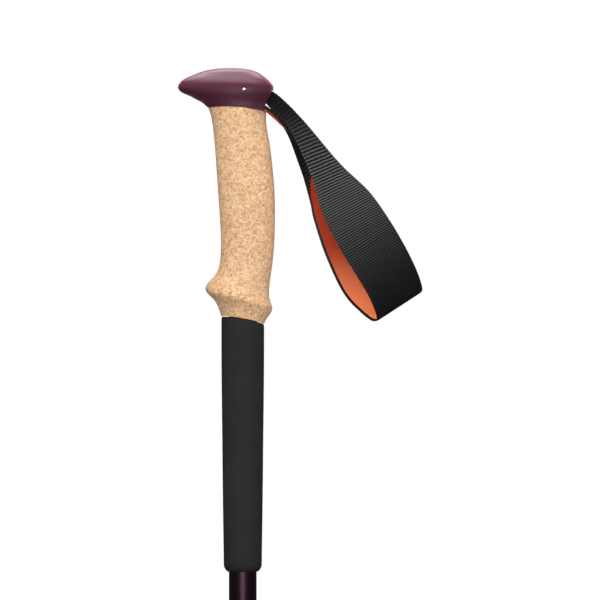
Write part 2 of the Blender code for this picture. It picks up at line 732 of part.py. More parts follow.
def main():
    clear_scene()
    plum_plastic = finish("plum plastic", (0.085, 0.026, 0.043), 0.42)
    black_plastic = finish("black plastic", (0.018, 0.018, 0.02), 0.5)
    lever_plastic = finish("lever plastic", (0.085, 0.026, 0.043), 0.38)
    cork = finish("cork", (0.78, 0.49, 0.29), 0.75)
    foam = finish("foam", (0.025, 0.025, 0.027), 0.9)
    webbing = finish("black webbing", (0.03, 0.03, 0.03), 0.8)
    suede = finish("orange suede", (0.52, 0.1, 0.035), 0.9)
    metal = finish("anodised aluminium", (0.07, 0.04, 0.055), 0.35, 1.0)
    steel = finish("steel", (0.6, 0.6, 0.6), 0.3, 1.0)
    brass = finish("brass", (0.7, 0.5, 0.22), 0.35, 1.0)
    carbide = finish("carbide", (0.32, 0.32, 0.34), 0.4, 1.0)

    make_head(plum_plastic)
    make_strap_fixing(steel, black_plastic, webbing)
    make_grip(black_plastic, cork, foam)
    make_strap(webbing, suede)
    middle, lower = make_tubes(metal, black_plastic)
    lower.parent = middle
    lower.matrix_parent_inverse = Matrix.Translation(-middle.location)
    make_clamp("upper", UPPER_CLAMP_BOTTOM, UPPER_TUBE_RADIUS, MIDDLE_TUBE_RADIUS, None,
               black_plastic, lever_plastic, steel, brass)
    make_clamp("lower", LOWER_CLAMP_BOTTOM, MIDDLE_TUBE_RADIUS, LOWER_TUBE_RADIUS, middle,
               black_plastic, lever_plastic, steel, brass)
    make_tip(lower, black_plastic, steel, carbide)


main()
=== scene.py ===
import math

import bpy
import numpy as np
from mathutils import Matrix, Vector


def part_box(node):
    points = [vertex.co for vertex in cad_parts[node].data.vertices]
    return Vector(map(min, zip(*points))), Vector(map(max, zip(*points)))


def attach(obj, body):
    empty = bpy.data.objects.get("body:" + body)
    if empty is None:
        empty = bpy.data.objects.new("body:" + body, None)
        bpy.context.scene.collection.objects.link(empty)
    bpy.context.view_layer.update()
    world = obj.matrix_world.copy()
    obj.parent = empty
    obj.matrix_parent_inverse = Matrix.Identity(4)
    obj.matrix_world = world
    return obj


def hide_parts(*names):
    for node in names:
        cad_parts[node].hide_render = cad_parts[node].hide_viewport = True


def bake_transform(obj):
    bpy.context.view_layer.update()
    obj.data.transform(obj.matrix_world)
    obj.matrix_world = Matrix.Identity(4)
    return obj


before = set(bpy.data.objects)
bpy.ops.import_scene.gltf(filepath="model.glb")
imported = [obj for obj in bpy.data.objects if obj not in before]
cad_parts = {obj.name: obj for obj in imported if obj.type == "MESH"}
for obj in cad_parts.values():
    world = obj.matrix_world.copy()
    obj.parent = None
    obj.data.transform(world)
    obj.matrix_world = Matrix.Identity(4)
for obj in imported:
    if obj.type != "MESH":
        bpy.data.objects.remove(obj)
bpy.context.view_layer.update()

# ---------------------------------------------------------------------------------------------
# Grip head: one moulding of hard plum plastic with a fine satin skin. It has a beak to rest the
# palm on, a mouth behind for the strap, and a cross hole for the strap's pin. Its lower edge
# follows a curved seam on the cork.
# ---------------------------------------------------------------------------------------------
MM = 0.001
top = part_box("grip_head")[1].z


class Signal:
    """A value in a finish's node tree that takes part in sums."""

    def __init__(self, finish, socket):
        self.finish = finish
        self.socket = socket

    def maths(self, operation, *values):
        return self.finish.node("ShaderNodeMath", {"operation": operation}, dict(enumerate(values)))

    def __add__(self, other):
        return self.maths("ADD", self, other)

    def __sub__(self, other):
        return self.maths("SUBTRACT", self, other)

    def __rsub__(self, other):
        return self.maths("SUBTRACT", other, self)

    def __mul__(self, other):
        return self.maths("MULTIPLY", self, other)

    def __truediv__(self, other):
        return self.maths("DIVIDE", self, other)

    def __pow__(self, other):
        return self.maths("POWER", self, other)

    def __neg__(self):
        return self * -1.0

    def __abs__(self):
        return self.maths("ABSOLUTE", self)

    def whole(self):
        return self.maths("FLOOR", self)

    def wave(self):
        """1 at each whole number and 0 half way between."""
        return self.maths("COSINE", self * math.tau) * 0.5 + 0.5

    __radd__ = __add__
    __rmul__ = __mul__


class Finish:
    """A surface finish: one Principled shader and the nodes that vary it."""

    def __init__(self, name, **constants):
        self.material = bpy.data.materials.new(name)
        self.material.use_nodes = True
        self.tree = self.material.node_tree
        self.shader = self.tree.nodes["Principled BSDF"]
        for socket, value in constants.items():
            self.shader.inputs[socket.replace("_", " ")].default_value = value
        self.place = Signal(self, self.tree.nodes.new("ShaderNodeTexCoord").outputs["Object"])

    def node(self, kind, settings=None, sockets=None, output=0):
        made = self.tree.nodes.new(kind)
        for name, value in (settings or {}).items():
            if name == "stops":
                while len(made.color_ramp.elements) < len(value):
                    made.color_ramp.elements.new(0.5)
                for element, (position, colour) in zip(made.color_ramp.elements, value):
                    element.position = position
                    element.color = (*colour, 1.0)
            else:
                setattr(made, name, value)
        for name, value in (sockets or {}).items():
            if isinstance(value, Signal):
                self.tree.links.new(value.socket, made.inputs[name])
            else:
                made.inputs[name].default_value = value
        return Signal(self, made.outputs[output])

    def drive(self, socket, signal):
        self.tree.links.new(signal.socket, self.shader.inputs[socket])

    def parts(self, vector):
        """The three parts of a vector."""
        made = self.node("ShaderNodeSeparateXYZ", None, {0: vector}).socket.node
        return [Signal(self, part) for part in made.outputs]

    def attribute(self, name):
        """The three parts of a vector kept on the piece's points."""
        return self.parts(self.node("ShaderNodeAttribute", {"attribute_name": name}, None, 1))

    def noise(self, scale, detail=2.0, roughness=0.5, place=None, output=0):
        sockets = {"Vector": place or self.place, "Scale": scale, "Detail": detail,
                   "Roughness": roughness}
        return self.node("ShaderNodeTexNoise", None, sockets, output)

    def cells(self, scale, feature="F1", output="Distance", place=None):
        sockets = {"Vector": place or self.place, "Scale": scale}
        return self.node("ShaderNodeTexVoronoi", {"feature": feature}, sockets, output)

    def ramp(self, signal, *stops):
        return self.node("ShaderNodeValToRGB", {"stops": stops}, {"Fac": signal})

    def window(self, signal, low, high):
        """0 below low, 1 above high."""
        sockets = {"Value": signal, "From Min": low, "From Max": high}
        return self.node("ShaderNodeMapRange", {"interpolation_type": "SMOOTHSTEP"}, sockets)

    def mix(self, share, first, second, blend="MIX"):
        settings = {"data_type": "RGBA", "blend_type": blend}
        as_colour = [c if isinstance(c, Signal) else (*c, 1.0) for c in (first, second)]
        sockets = {0: share, 6: as_colour[0], 7: as_colour[1]}
        return self.node("ShaderNodeMix", settings, sockets, 2)

    def relief(self, *heights):
        """Bumps of (signal, height in metres), one on another."""
        below = None
        for signal, height in heights:
            sockets = {"Height": signal, "Distance": height, "Strength": 1.0}
            if below:
                sockets["Normal"] = below
            below = self.node("ShaderNodeBump", None, sockets)
        self.drive("Normal", below)


def wrapped(name, columns, rows, place):
    """A grid laid over a closed form: place(u, v) is where a point at a share u of the way round
    and v of the way along goes. Its edges that meet are merged."""
    bpy.ops.object.select_all(action="DESELECT")
    bpy.ops.mesh.primitive_grid_add(x_subdivisions=columns, y_subdivisions=rows, size=1.0)
    piece = bpy.context.object
    piece.name = name
    for point in piece.data.vertices:
        point.co = place(point.co.x + 0.5, point.co.y + 0.5)
    close_up(piece)
    return piece


def close_up(piece):
    bpy.ops.object.mode_set(mode="EDIT")
    bpy.ops.mesh.select_all(action="SELECT")
    bpy.ops.mesh.remove_doubles(threshold=1e-6)
    bpy.ops.mesh.dissolve_degenerate(threshold=1e-7)
    bpy.ops.mesh.select_all(action="SELECT")
    bpy.ops.mesh.normals_make_consistent(inside=False)
    bpy.ops.object.mode_set(mode="OBJECT")


def between(table, share):
    """A row of a table at a share of its length, on a smooth curve through the rows."""
    place = share * (len(table) - 1)
    index = min(int(place), len(table) - 2)
    t = place - index
    before, here = table[max(index - 1, 0)], table[index]
    there, after = table[index + 1], table[min(index + 2, len(table) - 1)]
    row = []
    for a, b, c, d in zip(before, here, there, after):
        row.append(b + 0.5 * t * (c - a + t * (2 * a - 5 * b + 4 * c - d + t * (3 * (b - c) + d - a))))
    return row


def on_oval(row, share, front_squareness, rear_squareness):
    """A point on an oval ring given by front x, front z, rear x, rear z, half width and lead."""
    front_x, front_z, rear_x, rear_z, half_width, lead = row
    turn = math.tau * share
    cosine, sine = math.cos(turn), math.sin(turn)
    squareness = rear_squareness if cosine > 0 else front_squareness
    middle, half = (front_x + rear_x) / 2, (rear_x - front_x) / 2
    widest = middle + half * lead
    along = abs(cosine) ** (2 / squareness)
    x = widest + ((rear_x if cosine > 0 else front_x) - widest) * along
    y = half_width * math.copysign(abs(sine) ** (2 / squareness), sine)
    z = front_z + (rear_z - front_z) * (x - front_x) / max(rear_x - front_x, 1e-6)
    return Vector((x, y, z))


def select_only(piece):
    bpy.ops.object.select_all(action="DESELECT")
    piece.select_set(True)
    bpy.context.view_layer.objects.active = piece


def modified(piece, kind, **settings):
    """Adds a modifier and applies it."""
    change = piece.modifiers.new(kind.lower(), kind)
    for name, value in settings.items():
        setattr(change, name, value)
    select_only(piece)
    bpy.ops.object.modifier_apply(modifier=change.name)


def eased(piece, width, segments=4, angle=60):
    """Rounds the edges sharper than an angle by a width in millimetres."""
    modified(piece, "BEVEL", width=width * MM, segments=segments, limit_method="ANGLE",
             angle_limit=math.radians(angle))


def carve(piece, cutter, operation="DIFFERENCE"):
    modified(piece, "BOOLEAN", operation=operation, object=cutter, solver="EXACT")
    bpy.data.objects.remove(cutter, do_unlink=True)


def smooth(piece, angle=35):
    select_only(piece)
    bpy.ops.object.shade_smooth_by_angle(angle=math.radians(angle))


def place_piece(piece, finish, body, slot, *nodes):
    """Gives a piece its finish and its body, if it rides on one, in the place of CAD nodes."""
    piece.data.materials.clear()
    piece.data.materials.append(finish.material)
    if body:
        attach(piece, body)
    if nodes:
        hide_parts(*nodes)


def bar(name, start, end, radius, vertices=64):
    """A round bar from one point to another."""
    start, end = Vector(start), Vector(end)
    turn = (end - start).to_track_quat("Z", "Y").to_euler()
    bpy.ops.object.select_all(action="DESELECT")
    bpy.ops.mesh.primitive_cylinder_add(vertices=vertices, radius=radius, depth=(end - start).length,
                                        location=(start + end) / 2, rotation=turn)
    piece = bpy.context.object
    piece.name = name
    bpy.ops.object.transform_apply(location=True, rotation=True, scale=True)
    return piece


def arc(centre, radius, start, sweep, steps=24):
    """The places on a round stretch of an outline, with its angles in degrees."""
    turns = [math.radians(start + sweep * step / steps) for step in range(steps + 1)]
    return [(centre[0] + radius * math.cos(turn), centre[1] + radius * math.sin(turn)) for turn in turns]


def box_outline(left, right, near, far):
    return [(left, near), (right, near), (right, far), (left, far)]


def cut_sheet(name, outline, low, high, plane="XZ"):
    """A flat outline in the X-Z or X-Y plane, pulled out to a slab between two places."""
    bpy.ops.object.select_all(action="DESELECT")
    bpy.ops.mesh.primitive_circle_add(vertices=len(outline), radius=1.0)
    piece = bpy.context.object
    piece.name = name
    pull = (0, high - low, 0) if plane == "XZ" else (0, 0, high - low)
    for point, (across, up) in zip(piece.data.vertices, outline):
        point.co = (across, low, up) if plane == "XZ" else (across, up, low)
    bpy.ops.object.mode_set(mode="EDIT")
    bpy.ops.mesh.select_all(action="SELECT")
    bpy.ops.mesh.edge_face_add()
    bpy.ops.mesh.extrude_region_move(TRANSFORM_OT_translate={"value": pull})
    bpy.ops.mesh.select_all(action="SELECT")
    bpy.ops.mesh.normals_make_consistent(inside=False)
    bpy.ops.object.mode_set(mode="OBJECT")
    return piece


# Front x, front z, rear x, rear z, half width, lead, in millimetres, z from the head's top.
head_rows = (
    (-22.6, -25.5, 16.6, -28.0, 15.0, 0.00),
    (-23.8, -24.3, 16.4, -26.3, 15.1, 0.04),
    (-26.5, -21.8, 16.6, -23.4, 15.4, 0.10),
    (-30.2, -19.9, 17.7, -21.0, 15.8, 0.17),
    (-34.4, -18.0, 19.0, -18.6, 16.4, 0.25),
    (-38.6, -16.2, 20.0, -16.4, 17.0, 0.34),
    (-41.0, -14.6, 20.0, -14.6, 17.2, 0.39),
    (-42.0, -13.0, 19.9, -13.2, 17.3, 0.40),
    (-42.1, -11.6, 19.9, -11.8, 17.2, 0.40),
    (-41.5, -10.1, 19.1, -10.3, 16.9, 0.40),
    (-39.8, -8.1, 17.3, -8.3, 15.8, 0.40),
    (-36.9, -6.2, 15.1, -6.3, 14.2, 0.40),
    (-32.4, -4.3, 12.5, -4.3, 12.0, 0.38),
    (-27.2, -2.2, 8.9, -2.2, 9.3, 0.36),
    (-20.6, -0.6, 3.6, -0.6, 6.0, 0.34),
    (-13.8, 0.2, -3.2, 0.2, 2.6, 0.32),
)
HEAD_CROWN = Vector((-8.2, 0, 0.3))
HEAD_UNDERSIDE = Vector((-4, 0, -25.0))
UNDERSIDE_SHARE = 0.02
SEAM_FRONT, SEAM_LENGTH, SEAM_ARCH = -22.5, 37.1, 6.8
EYE_ROOM = 6.6 * MM
MOUTH_CLEARANCE = 0.6 * MM
PIN_HOLE_RADIUS = 1.55 * MM
THROUGH = 0.03


def seam_rise(x):
    """How far the seam under the head stands above a straight line from its front to its rear."""
    share = (x - SEAM_FRONT) / SEAM_LENGTH
    return SEAM_ARCH * share * (1 - share)


def head_point(u, v):
    """The outer skin from the underside's middle, out over the lower edge and up to the crown."""
    if v == 0:
        return HEAD_UNDERSIDE * MM + Vector((0, 0, top))
    if v == 1:
        return HEAD_CROWN * MM + Vector((0, 0, top))
    share = max((v - UNDERSIDE_SHARE) / (1 - UNDERSIDE_SHARE), 0)
    point = on_oval(between(head_rows, share), u, 2.0, 2.7)
    arch = seam_rise(point.x) * max(0, 1 - share * 4)
    return point * MM + Vector((0, 0, top + arch * MM))


head = wrapped("grip_head_shell", 128, 120, head_point)
pin_low, pin_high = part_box("strap_pin")
pin_place = (pin_low + pin_high) / 2
strap_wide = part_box("strap_anchor")[1].y * 2
slot_outline = arc((pin_place.x, pin_place.z), EYE_ROOM, 63, 200)
slot_outline += [(9.5 * MM, top - 25.4 * MM), (9.6 * MM, top - 32 * MM), (28 * MM, top - 32 * MM),
                 (28 * MM, top - 17.8 * MM)]
mouth = cut_sheet("mouth", slot_outline, -strap_wide / 2 - MOUTH_CLEARANCE,
                  strap_wide / 2 + MOUTH_CLEARANCE)
eased(mouth, 0.5, 2)
carve(head, mouth)
hole = bar("hole", (pin_place.x, -THROUGH, pin_place.z), (pin_place.x, THROUGH, pin_place.z),
           PIN_HOLE_RADIUS)
carve(head, hole)
smooth(head, 40)

plum = Finish("plum satin plastic", Roughness=0.4, Specular_IOR_Level=0.3, Sheen_Weight=0.4,
              Sheen_Roughness=0.35, Sheen_Tint=(1.0, 0.36, 0.62, 1.0))
grain = plum.noise(2600, 3.0)
clouds = plum.noise(60, 3.0)
plum.drive("Base Color", plum.mix(clouds, (0.064, 0.0145, 0.0275), (0.080, 0.0195, 0.036)))
plum.drive("Roughness", 0.34 + plum.noise(900, 2.0) * 0.12)
plum.relief((grain, 0.02 * MM))
place_piece(head, plum, "handle", "plum_plastic", "grip_head")

# ---------------------------------------------------------------------------------------------
# Strap pin and wedge: a plain steel pin pressed across the head, its ends a little inside their
# hole, and the black moulded wedge on it that the strap's sewn ends lie against.
# ---------------------------------------------------------------------------------------------
pin = bar("strap_cross_pin", (pin_place.x, pin_low.y, pin_place.z),
          (pin_place.x, pin_high.y, pin_place.z), pin_high.x - pin_place.x)
eased(pin, 0.35)
smooth(pin)
steel = Finish("turned steel", Metallic=1.0, Roughness=0.22)
scratches = steel.noise(900, 4.0)
steel.drive("Base Color", steel.mix(scratches, (0.62, 0.62, 0.63), (0.78, 0.78, 0.79)))
steel.drive("Roughness", 0.16 + scratches * 0.18)
steel.relief((steel.noise(2500, 2.0), 0.006 * MM))
place_piece(pin, steel, "handle", "steel", "strap_pin")

black = Finish("black moulded plastic", Roughness=0.5)
black.drive("Base Color", black.mix(black.noise(70, 3.0), (0.014, 0.014, 0.016), (0.024, 0.024, 0.026)))
black.drive("Roughness", 0.42 + black.noise(700, 3.0) * 0.2)
black.relief((black.noise(2200, 3.0), 0.03 * MM))
for name in ("strap_wedge", "grip_core", "middle_tube_bush", "lower_tube_bush"):
    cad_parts[name].data.materials.clear()
    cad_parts[name].data.materials.append(black.material)

# ---------------------------------------------------------------------------------------------
# Cork grip: ground cork bonded in a mould round the core and sanded. Pale granules of a few
# sizes with brown skins, dark pits and a few light flecks. A flange runs round its lower end.
# ---------------------------------------------------------------------------------------------
cork_rows = (
    (-14.1, -161.0, 13.9, -165.9, 13.8, 0.0),
    (-14.5, -159.3, 14.5, -164.6, 14.0, 0.0),
    (-15.5, -156.3, 15.7, -162.4, 14.4, 0.0),
    (-18.1, -151.1, 18.0, -159.3, 15.8, 0.0),
    (-21.6, -147.6, 19.0, -157.0, 17.0, 0.0),
    (-23.8, -145.0, 19.2, -155.7, 17.9, 0.0),
    (-24.3, -142.6, 19.0, -154.4, 18.2, 0.0),
    (-23.2, -140.2, 18.3, -152.4, 17.7, 0.0),
    (-21.2, -137.7, 17.6, -150.2, 16.9, 0.0),
    (-18.4, -134.8, 17.1, -147.2, 16.0, 0.0),
    (-16.3, -131.3, 17.2, -143.0, 15.4, 0.0),
    (-15.0, -126.5, 17.9, -136.5, 15.1, 0.0),
    (-14.3, -119.5, 19.4, -126.0, 15.0, 0.0),
    (-14.2, -110.0, 20.5, -113.0, 15.1, 0.0),
    (-14.8, -98.0, 20.9, -98.5, 15.2, 0.0),
    (-15.9, -82.0, 20.7, -82.0, 15.3, 0.0),
    (-17.0, -66.0, 19.5, -66.0, 15.1, 0.0),
    (-18.1, -51.0, 17.8, -51.2, 14.9, 0.0),
    (-19.4, -38.0, 15.8, -39.5, 14.8, 0.0),
    (-20.9, -30.0, 15.1, -33.0, 14.9, 0.0),
    (-22.5, -25.6, 15.1, -28.1, 15.0, 0.0),
)
FIT_CLEARANCE = 0.3
CORK_TOP_FRONT, CORK_TOP_FALL, CORK_TOP_LENGTH = -25.6, 2.5, 37.6
CORK_FOOT, CORK_FOOT_FRONT, CORK_FOOT_LENGTH, CORK_FOOT_FALL = -161.0, -14.1, 28.0, 4.9
core_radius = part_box("grip_core")[1].x / MM + FIT_CLEARANCE


def foam_seam(x):
    """Height of the seam between cork and foam, which falls away towards the rear."""
    share = max(0.0, min(1.0, (x - CORK_FOOT_FRONT) / CORK_FOOT_LENGTH))
    return CORK_FOOT - CORK_FOOT_FALL * share**2


def cork_point(u, v):
    """Round the section: up the outside, in at the top seam, down the bore and out again."""
    outer, bore_low = 0.94, 0.98
    if v <= outer:
        share = v / outer
        point = on_oval(between(cork_rows, share), u, 2.1, 2.2)
        low, high = max(0, 1 - share * 12), max(0, 1 - (1 - share) * 10)
        straight = CORK_FOOT - CORK_FOOT_FALL * (point.x - CORK_FOOT_FRONT) / CORK_FOOT_LENGTH
        point.z += (foam_seam(point.x) - straight) * low
        point.z += seam_rise(point.x) * high
        edge = min(share, 1 - share) * 150
        if edge < 0.8:
            point.x *= 1 - 0.012 * (1 - edge / 0.8)
            point.y *= 1 - 0.02 * (1 - edge / 0.8)
    else:
        turn = math.tau * u
        point = Vector((core_radius * math.cos(turn), core_radius * math.sin(turn), 0))
        if v > bore_low - 1e-6:
            point.z = foam_seam(point.x) + 0.2
        else:
            point.z = (CORK_TOP_FRONT - (point.x - SEAM_FRONT) * CORK_TOP_FALL / CORK_TOP_LENGTH
                       + seam_rise(point.x))
        if v > 0.999:
            point = cork_point(u, 0.0) / MM - Vector((0, 0, top / MM))
    return point * MM + Vector((0, 0, top))


cork_grip = wrapped("cork_handle", 112, 250, cork_point)
smooth(cork_grip, 50)

cork = Finish("sanded cork", Roughness=0.72, Specular_IOR_Level=0.25)
coarse_warp = cork.noise(230, 2.0, output=1)
fine_warp = cork.noise(1100, 3.0, 0.6, output=1)
pushed = cork.node("ShaderNodeVectorMath", {"operation": "MULTIPLY_ADD"},
                   {0: coarse_warp, 1: (0.0034, 0.0034, 0.0034), 2: cork.place})
pushed = cork.node("ShaderNodeVectorMath", {"operation": "MULTIPLY_ADD"},
                   {0: fine_warp, 1: (0.0013, 0.0013, 0.0013), 2: pushed})


def cork_cells(scale, part):
    """One of the three random values of each cell, the same all over the cell."""
    cells = cork.cells(scale, output="Color", place=pushed)
    return cork.node("ShaderNodeSeparateColor", None, {"Color": cells}, part)


def cork_bits(scale, part, chosen, edge):
    """The few cells whose random value is high enough, each faded out from its middle."""
    inside = 1 - cork.window(cork.cells(scale, place=pushed), *edge)
    return cork.window(cork_cells(scale, part), *chosen) * inside


tone = cork_cells(620, 0) * 0.34 + cork_cells(1150, 1) * 0.3 + cork.noise(1300, 4.0, 0.65) * 0.36
ground = cork.ramp(
    tone,
    (0.14, (0.52, 0.235, 0.105)),
    (0.31, (0.71, 0.405, 0.215)),
    (0.47, (0.82, 0.520, 0.298)),
    (0.62, (0.88, 0.600, 0.365)),
    (0.84, (0.92, 0.690, 0.460)),
)
joints = cork.cells(620, feature="DISTANCE_TO_EDGE", place=pushed)
skins = (1 - cork.window(joints, 0.0, 0.11)) * cork.window(cork.noise(420, 3.0), 0.42, 0.6)
brown_bits = cork_bits(900, 2, (0.82, 0.88), (0.26, 0.52))
dark_bits = cork_bits(700, 1, (0.90, 0.94), (0.12, 0.38))
fine_bits = cork_bits(1500, 1, (0.86, 0.92), (0.3, 0.55))
flecks = cork_bits(330, 0, (0.968, 0.972), (0.14, 0.3))
colour = cork.mix(skins * 0.6, ground, (0.52, 0.225, 0.090))
colour = cork.mix(brown_bits * 0.85, colour, (0.38, 0.140, 0.050))
colour = cork.mix(dark_bits * 0.85, colour, (0.20, 0.075, 0.030))
colour = cork.mix(fine_bits * 0.75, colour, (0.34, 0.125, 0.048))
colour = cork.mix(flecks * 0.65, colour, (0.88, 0.80, 0.74))
cork.drive("Base Color", colour)
cork.drive("Roughness", 0.62 + tone * 0.2)
cork.relief((-dark_bits, 0.14 * MM), (-skins, 0.06 * MM), (cork.noise(1500, 3.0), 0.04 * MM))
place_piece(cork_grip, cork, "handle", "cork", "cork_grip")

# ---------------------------------------------------------------------------------------------
# Foam sleeve: a closed-cell foam tube pushed on below the cork and ground to a slow taper, with
# a rounded lower end and a dull, finely pored skin.
# ---------------------------------------------------------------------------------------------
foam_rows = ((13.9, -163.0), (13.86, -190.0), (13.65, -215.0), (13.35, -241.0), (13.1, -267.0),
             (12.8, -292.0), (12.5, -312.0), (12.38, -322.0))
FOAM_END = -327.0
FOAM_ROUNDING = 2.6
FOAM_SEAM_GAP = 0.35
foam_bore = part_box("upper_tube")[1].x / MM + FIT_CLEARANCE


def foam_point(u, v):
    """Down the outside, round the lower end and back up the bore."""
    side, rounding, underside = 0.8, 0.92, 0.96
    turn = math.tau * u
    if v <= side:
        radius, height = between(foam_rows, v / side)
        if v == 0:
            radius -= FOAM_SEAM_GAP
    elif v <= rounding:
        bend = math.pi / 2 * (v - side) / 0.12
        radius = foam_rows[-1][0] - FOAM_ROUNDING * (1 - math.cos(bend))
        height = FOAM_END + FOAM_ROUNDING * (1 - math.sin(bend)) + 2.4 * (1 - bend / (math.pi / 2))
    elif v <= underside:
        radius, height = foam_bore, FOAM_END
    else:
        radius, height = foam_bore, foam_rows[0][1]
    if v >= 0.999:
        radius = foam_rows[0][0] - FOAM_SEAM_GAP
    x, y = radius * math.cos(turn), radius * math.sin(turn)
    reach = max(0, 1 - (foam_rows[0][1] - height) / 20)
    height += (foam_seam(x) - FOAM_SEAM_GAP - foam_rows[0][1]) * reach
    if 0 < v <= side:
        height -= 0.25 * reach
    return Vector((x, y, height)) * MM + Vector((0, 0, top))


foam_sleeve = wrapped("foam_sleeve", 96, 100, foam_point)
smooth(foam_sleeve, 50)

foam = Finish("closed cell foam", Roughness=0.82, Specular_IOR_Level=0.15)
blotches = foam.noise(45, 4.0)
pores = foam.cells(1300)
foam.drive("Base Color", foam.mix(blotches, (0.019, 0.019, 0.0202), (0.031, 0.031, 0.033)))
foam.drive("Roughness", 0.76 + foam.noise(500, 3.0) * 0.14)
foam.relief((pores, 0.035 * MM), (foam.noise(900, 4.0), 0.05 * MM))
place_piece(foam_sleeve, foam, "handle", "foam", "foam_grip")

# ---------------------------------------------------------------------------------------------
# Wrist strap: one length of black nylon webbing with heavy cross ribs, narrow where it leaves
# the head and wide at the wrist, folded into a loop with a turn in it. Its ends lie on the wedge
# in the head. Orange brushed lining is bonded to its inner face.
# ---------------------------------------------------------------------------------------------
strap_rows = (
    (4.0, 0.0, -9.6, 16.8, 90, 1.9),
    (10.5, 0.0, -13.0, 16.8, 80, 1.9),
    (17.2, 0.0, -17.4, 17.4, 62, 2.0),
    (23.4, -0.1, -23.2, 18.0, 57, 2.1),
    (30.7, -0.5, -30.5, 18.2, 57, 1.9),
    (40.1, -2.0, -42.7, 19.6, 51, 1.6),
    (54.2, -6.0, -65.7, 25.8, 38, 1.35),
    (67.2, -10.0, -87.4, 37.0, 25, 1.2),
    (79.7, -12.4, -108.2, 39.9, 21, 1.2),
    (90.2, -11.2, -125.6, 39.8, 22, 1.2),
    (97.4, -7.4, -138.9, 39.4, 24, 1.2),
    (101.5, -2.2, -149.0, 39.2, 25, 1.2),
    (102.2, 3.6, -154.6, 39.1, 25, 1.2),
    (97.8, 9.8, -154.0, 39.1, 25, 1.2),
    (88.8, 13.2, -146.0, 39.5, 24, 1.2),
    (79.8, 14.0, -135.4, 39.5, 24, 1.2),
    (70.4, 14.4, -114.0, 39.5, 21, 1.2),
    (62.6, 15.0, -92.0, 36.5, 13, 1.2),
    (56.6, 15.0, -79.4, 29.5, -5, 1.3),
    (49.8, 14.4, -67.8, 24.5, -30, 1.5),
    (42.3, 12.4, -57.0, 21.5, -56, 1.7),
    (35.0, 8.6, -46.6, 19.4, -78, 1.8),
    (27.8, 3.4, -36.2, 18.0, -88, 1.9),
    (21.6, 0.8, -29.6, 17.8, -88, 1.9),
    (15.8, 0.2, -25.0, 17.4, -88, 1.9),
    (10.8, 0.0, -21.4, 16.8, -90, 1.9),
    (5.0, 0.0, -19.1, 16.8, -90, 1.9),
)
STRAP_ACROSS = np.array((0.84, 0.0, 0.54))
COARSE_RIB, FINE_RIB = 2.6, 1.58
COARSE_WIDTH, FINE_WIDTH = 20, 37
RIB_HEIGHT, RIB_REACH = 0.30, 0.12
POINTS_A_RIB = 8
LINING_DEPTH = 0.75
LINING_START, LINING_SHORT_OF_END = 62.0, 13.0
LINING_ROWS, LINING_COLUMNS = 320, 12


def strap_line():
    """The strap's course, evenly enough for its ribs: arrays of places along, middles, directions
    across and outwards, widths, thicknesses and the count of ribs so far."""
    dense = np.array([between(strap_rows, share) for share in np.linspace(0, 1, 3000)])
    middle = dense[:, :3]
    ahead = np.gradient(middle, axis=0)
    along = np.concatenate([[0], np.cumsum(np.linalg.norm(np.diff(middle, axis=0), axis=1))])
    ahead /= np.linalg.norm(ahead, axis=1)[:, None]
    lean = np.radians(dense[:, 4])[:, None]
    across = STRAP_ACROSS * np.cos(lean) + np.array((0.0, 1.0, 0.0)) * np.sin(lean)
    across -= ahead * (across * ahead).sum(1)[:, None]
    across /= np.linalg.norm(across, axis=1)[:, None]
    outwards = np.cross(ahead, across)
    width = dense[:, 3]
    narrowness = np.clip((FINE_WIDTH - width) / (FINE_WIDTH - COARSE_WIDTH), 0, 1)
    pitch = FINE_RIB + (COARSE_RIB - FINE_RIB) * narrowness**1.5
    ribs = np.concatenate([[0], np.cumsum(np.diff(along) / pitch[1:])])
    return along, middle, across, outwards, width, dense[:, 5], ribs


along, middle, across, outwards, width, thickness, ribs = strap_line()


def strap_at(rib):
    """The strap's course at a count of ribs."""
    fields = (along, width, thickness)
    place = [np.interp(rib, ribs, field) for field in fields]
    vectors = [np.array([np.interp(rib, ribs, field[:, k]) for k in range(3)])
               for field in (middle, across, outwards)]
    return place + vectors


def ribbon(name, rows, columns, inner_columns, section):
    """A closed flat band: section(row share, side) gives the band's course for that row and
    where each point round its section goes, as (share across, depth)."""
    count = columns + inner_columns
    bpy.ops.object.select_all(action="DESELECT")
    bpy.ops.mesh.primitive_grid_add(x_subdivisions=count, y_subdivisions=rows, size=1.0)
    piece = bpy.context.object
    piece.name = name
    spread = piece.data.attributes.new("strap_place", "FLOAT_VECTOR", "POINT")
    stations = {}
    for index, point in enumerate(piece.data.vertices):
        row = round((point.co.y + 0.5) * rows)
        column = round((point.co.x + 0.5) * count) % count
        if row not in stations:
            stations[row] = section(row / rows)
        place, rib, half_width, centre, sideways, out, depths = stations[row]
        share, depth = depths[column]
        spot = centre + sideways * share * half_width - out * depth
        point.co = Vector(spot) * MM + Vector((0, 0, top))
        spread.data[index].vector = (share * half_width, place, rib)
    close_up(piece)
    bpy.ops.object.mode_set(mode="EDIT")
    bpy.ops.mesh.fill_holes(sides=0)
    bpy.ops.mesh.select_all(action="SELECT")
    bpy.ops.mesh.normals_make_consistent(inside=False)
    bpy.ops.object.mode_set(mode="OBJECT")
    return piece


FACE_COLUMNS = 26
BACK_COLUMNS = 10


